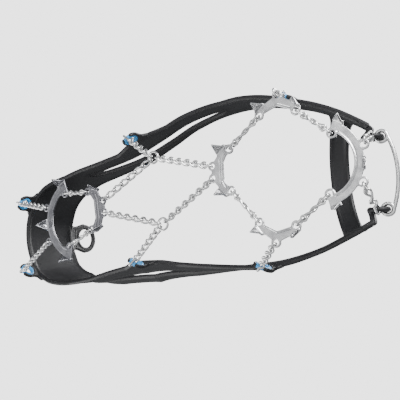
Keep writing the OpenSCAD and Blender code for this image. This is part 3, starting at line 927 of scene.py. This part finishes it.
def weld(piece, distance):
    """Merges points closer than a distance in millimetres and turns all faces outwards."""
    shape = bmesh.new()
    shape.from_mesh(piece.data)
    bmesh.ops.remove_doubles(shape, verts=shape.verts, dist=distance * MM)
    bmesh.ops.dissolve_degenerate(shape, edges=shape.edges, dist=0.001 * MM)
    bmesh.ops.recalc_face_normals(shape, faces=shape.faces)
    shape.to_mesh(piece.data)
    shape.free()
    piece.data.shade_smooth()


def strap_foot(s):
    """Middle of the toe strap's foot on one side, and the way along the wall there."""
    u = {-1: 12.05, 1: 12.1}[s]
    p, n = walk(s, u), across(s, u)
    z = height(MID_EDGE, p[0]) + 2.2
    q = p + n * (RUBBER_T / 2 - LEAN * (z - LEAN_FROM))
    along = np.array([abs(n[1]), -n[0] * np.sign(n[1]), 0])
    return np.array([q[0], q[1], z]), along


def toe_strap():
    """Arched strap over the toe, wider at its feet, with beaded rims and two ridges."""
    (a, along_a), (b, along_b) = strap_foot(-1), strap_foot(1)

    def arch(t):
        w = math.sin(math.pi * t)
        return np.array([a[0] + (b[0] - a[0]) * t - 13 * w,
                         (a[1] + b[1]) / 2 - (b[1] - a[1]) / 2 * math.cos(math.pi * t),
                         a[2] + (b[2] - a[2]) * t + 27 * max(w, 0) ** 0.75])

    around = 44
    points, faces = [], []
    stations = np.linspace(0, 1, 90)
    for t in stations:
        ahead = arch(min(1, t + 0.005)) - arch(max(0, t - 0.005))
        f = math.sin(math.pi * t)
        side = (along_a * (1 - t) + along_b * t) * (1 - f) + np.array([1, 0, 0]) * f
        side /= np.linalg.norm(side)
        out = np.cross(side, ahead)
        out /= np.linalg.norm(out)
        wide = 6.5 + 3.2 * math.exp(-min(t, 1 - t) / 0.05)
        drop = -2.0 * math.exp(-min(t, 1 - t) / 0.02)
        for k in range(around):
            w = 2 * math.pi * k / around
            c, s = math.cos(w), math.sin(w)
            across_at = wide * np.sign(c) * abs(c) ** 0.55
            d = wide - abs(across_at)
            thick = 1.0 + 0.75 * math.exp(-(((d - 1.3) / 1.2) ** 2))
            ridge = 0.45 * math.exp(-(((abs(across_at) - 2.2) / 0.6) ** 2)) if s > 0 else 0
            lift = (thick * abs(s) ** 0.6 + ridge) * np.sign(s)
            points.append(ORIGIN + arch(t) + side * across_at + out * lift + np.array([0, 0, drop]))
    n = len(stations)
    for i in range(n - 1):
        for k in range(around):
            m = (k + 1) % around
            faces.append((i * around + k, i * around + m, (i + 1) * around + m, (i + 1) * around + k))
    faces += [tuple(reversed(range(around))), tuple(range((n - 1) * around, n * around))]
    piece = new_piece("toe_strap_skin", points, faces, "harness", ["toe_strap"])
    weld(piece, 0.001)
    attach(piece, "harness")


def swung(piece, centre, swing, low, high):
    """Turns a piece about the upright line through centre, fully below low and not above high."""
    at = np.array([v.co for v in piece.data.vertices])
    normals = np.array([n.vector for n in piece.data.vertex_normals])
    angle = math.radians(swing) * (1 - ease(at[:, 2], (centre[2] + low) * MM, (centre[2] + high) * MM))
    c, s = np.cos(angle), np.sin(angle)
    flat = at - np.array(centre) * MM
    for v, (x, y, _), cv, sv in zip(piece.data.vertices, flat, c, s):
        v.co.x = centre[0] * MM + x * cv - y * sv
        v.co.y = centre[1] * MM + x * sv + y * cv
    normals[:, :2] = np.stack([normals[:, 0] * c - normals[:, 1] * s,
                               normals[:, 0] * s + normals[:, 1] * c], 1)
    piece.data.normals_split_custom_set_from_vertices([tuple(n) for n in normals])


def eyelet(node, centre, face, swing, tab_top):
    """Blue ring set in a black tab that hangs from the wall and is pulled round by swing."""
    step = EYELET_STEP
    rotation = turned(face, "Z")
    low, high = (-12, -3, -7.2), (12, 3, tab_top + 4)
    x, y, z = grid(low, high, step)
    r = np.hypot(x, z)
    ring = np.hypot(r - EYELET_R, y) - ROD_R
    blue, _ = skinned_piece(node + "_ring", ring, low, step, turned(face + swing, "Z"), centre,
                            "eyelet", [node])
    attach(blue, "harness")
    fx, fz = x[:, 0, :], z[:, 0, :]
    flat = join(np.hypot(fx, fz) - 6.7,
                polygon_distance(fx, fz, [(-5.2, 1), (5.2, 1), (7.4, tab_top - 1.2), (10.5, tab_top + 1),
                                          (10.5, tab_top + 3), (-10.5, tab_top + 3),
                                          (-10.5, tab_top + 1), (-7.4, tab_top - 1.2)]), 2.5)
    flat = cut(flat, np.hypot(fx, fz) - 4.9, 0.4)
    flat = cut(flat, polygon_distance(fx, fz, [(-1.6, -4), (-6.5, -9), (6.5, -9), (1.6, -4)]), 1.2)
    tab = slab(flat[:, None, :], y, 1.35, 0.9)
    black, _ = skinned_piece(node + "_tab", tab, low, step, rotation, centre, "harness")
    if swing:
        swung(black, centre, swing, 0.5, tab_top + 2.5)
    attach(black, "harness")


def toe_eyelet(side):
    """Ring in front of the band's end, on a tongue that curves back into it."""
    s = SIDES[side]
    centre = np.array(TOE_HOOKS[s], float) + (0, 0, TOE_EYELET_R)
    face = math.radians(toe_turn())
    rear = centre[:2] - TOE_EYELET_R * np.array([math.cos(face), math.sin(face)])
    band = [wall_point(s, u, 16.3, RUBBER_T / 2)[:2] - ORIGIN[:2] for u in (BAND_END, BAND_END - 0.28)]
    bow = band[0] + (band[0] - band[1]) * 0.2
    path = [(1 - t) ** 2 * rear + 2 * t * (1 - t) * bow + t * t * band[0] for t in np.linspace(0, 1, 13)]
    path = [tuple(p - centre[:2]) for p in path + [band[1]]]
    step = EYELET_STEP
    low, high = (-14, -15, -7.4), (8, 15, 7.4)
    x, y, z = grid(low, high, step)
    fx, fy = x[:, :, 0], y[:, :, 0]
    a, b = x * math.cos(face) + y * math.sin(face), y * math.cos(face) - x * math.sin(face)
    ring = np.hypot(np.hypot(a, z) - TOE_EYELET_R, b) - ROD_R
    run = np.array(path[-1]) - path[0]
    share = np.clip(((fx - path[0][0]) * run[0] + (fy - path[0][1]) * run[1]) / (run @ run), 0, 1)
    share = (share * share * (3 - 2 * share))[:, :, None]
    tongue = slab((line_distance(fx, fy, path) - 1.4)[:, :, None], z + 1.5 * share,
                  3.0 + 0.8 * share, 0.9)
    body = join(ring, tongue, 1.6)
    node = "toe_eyelet_" + side
    black, _ = skinned_piece(node + "_ring", body, low, step, np.eye(3), ORIGIN + centre,
                             "harness", [node])
    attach(black, "harness")


def eyelets():
    for side, s in SIDES.items():
        toe_eyelet(side)
        for kind, u, z, top, swing in (("side", SIDE_U[s], 10, 6.35, SIDE_SWING[s]),
                                       ("mid", MID_U[s], 8, 6.35, MID_SWING[s]),
                                       ("heel", HEEL_U[s], 8, 7.75, 0)):
            centre = hook(s, u, z) + (0, 0, EYELET_R)
            eyelet(f"{kind}_eyelet_{side}", centre, wall_turn(s, u), swing, top)


def pull_tab():
    """Heel pull tab with a finger hole, a beaded rim and grip ribs; its neck bends with it."""
    root = ORIGIN + (4.2, 0, 66 + 0.35 + RUBBER_T / 2)
    step = TAB_STEP
    low, high = (-3.2, -15, -8), (3.6, 15, 30)
    x, y, z = grid(low, high, step)
    fy, fz = y[0], z[0]
    flat = join(np.hypot(fy, fz - 15) - 12.9,
                polygon_distance(fy, fz, [(-12.5, -6), (12.5, -6), (10.6, 2), (12.6, 13), (-12.6, 13),
                                          (-10.6, 2)]), 3)
    hole = np.hypot(fy, fz - 15) - FINGER_R
    flat = cut(flat, hole, 0.5)
    rim = 1.05 + 0.45 * np.exp(-(((flat + 1.5) / 1.1) ** 2))
    grip = 0.35 * np.maximum(0, np.cos(fz * 2 * math.pi / 2.6)) * ease(fz, 22.5, 24)
    grip = grip * ease(-flat, 0.8, 1.6)
    stripes = 0.3 * np.maximum(0, np.cos(fz * 2 * math.pi / 2.2)) * (1 - ease(fz, 3.5, 4.5))
    stripes = stripes * ease(-flat, 2, 3)
    centre = -0.15 * np.minimum(z, 0)
    relief = (rim - 1.0) * 0.8 + grip + stripes
    body = slab(flat[None], x - centre, 1.0, 0.8) - relief[None] * 0.9
    piece, _ = skinned_piece("pull_tab_skin", body, low, step, np.eye(3), root, "harness",
                             ["pull_tab"])
    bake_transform(piece)


# ---------------------------------------------------------------- the scene


# The camera in metres in the row frame: its place, the way it looks back, and the way up in it.
CAMERA_AT = (0.21331, 0.05905, -0.29442)
CAMERA_BACK = Vector((0.515, 0.150, -0.844))
CAMERA_UP = Vector((0.157, -0.984, -0.079))


def camera():
    data = bpy.data.cameras.new("camera")
    data.sensor_width = 36
    data.lens = 49.24
    data.clip_start = 0.01
    shot = bpy.data.objects.new("camera", data)
    back = CAMERA_BACK.normalized()
    right = CAMERA_UP.cross(back).normalized()
    shot.matrix_world = Matrix.Translation(CAMERA_AT) @ Matrix(
        (right, back.cross(right), back)).transposed().to_4x4()
    bpy.context.scene.collection.objects.link(shot)
    bpy.context.scene.camera = shot


def soft_light(name, at, size, power):
    data = bpy.data.lights.new(name, "AREA")
    data.shape = "DISK"
    data.size = size
    data.energy = power
    lamp = bpy.data.objects.new(name, data)
    lamp.location = at
    lamp.rotation_mode = "QUATERNION"
    lamp.rotation_quaternion = (-Vector(at)).to_track_quat("-Z", "Y")
    lamp.visible_camera = False
    bpy.context.scene.collection.objects.link(lamp)


def studio():
    """Pale floor far below, a pale surround and three soft lights."""
    bpy.ops.mesh.primitive_plane_add(size=30, location=(0, 0, -1.1))
    floor = bpy.context.object
    floor.name = "floor"
    paint, nodes, links, shader = material("pale_floor", (0.86, 0.86, 0.86), 0.7)
    floor.data.materials.append(paint)
    # The camera sees the floor as evenly bright as the surround behind it.
    glow = nodes.new("ShaderNodeEmission")
    glow.inputs["Color"].default_value = (1, 1, 1, 1)
    glow.inputs["Strength"].default_value = 3.0
    ray = nodes.new("ShaderNodeLightPath")
    both_ways = nodes.new("ShaderNodeMixShader")
    links.new(ray.outputs["Is Camera Ray"], both_ways.inputs["Fac"])
    links.new(shader.outputs["BSDF"], both_ways.inputs[1])
    links.new(glow.outputs["Emission"], both_ways.inputs[2])
    links.new(both_ways.outputs["Shader"], nodes["Material Output"].inputs["Surface"])
    world = bpy.data.worlds.new("surround")
    bpy.context.scene.world = world
    world.use_nodes = True
    nodes, links = world.node_tree.nodes, world.node_tree.links
    seen = nodes["Background"]
    seen.inputs["Color"].default_value = (1, 1, 1, 1)
    seen.inputs["Strength"].default_value = 3.0
    lit = nodes.new("ShaderNodeBackground")
    lit.inputs["Strength"].default_value = 0.9
    ways = nodes.new("ShaderNodeTexCoord").outputs["Generated"]
    clouds = noise(nodes, links, ways, 1.7, 1)
    links.new(shades(nodes, links, clouds, (0.02, 0.02, 0.025), (0.95, 0.97, 1)), lit.inputs["Color"])
    path = nodes.new("ShaderNodeLightPath")
    mix = nodes.new("ShaderNodeMixShader")
    links.new(path.outputs["Is Camera Ray"], mix.inputs["Fac"])
    links.new(lit.outputs["Background"], mix.inputs[1])
    links.new(seen.outputs["Background"], mix.inputs[2])
    links.new(mix.outputs["Shader"], nodes["World Output"].inputs["Surface"])
    soft_light("key", (0.9, -0.7, -0.55), 0.7, 26)
    soft_light("fill", (-0.9, 0.6, -0.3), 0.9, 9)
    soft_light("top", (0.2, -0.5, 1.4), 1.2, 30)


camera()
studio()
toe_plate()
for side in SIDES:
    side_plate(side)
ball_plate()
fore_heel_plate()
rear_heel_plate()
chains()
toe_bail()
harness_wall()
toe_strap()
eyelets()
pull_tab()
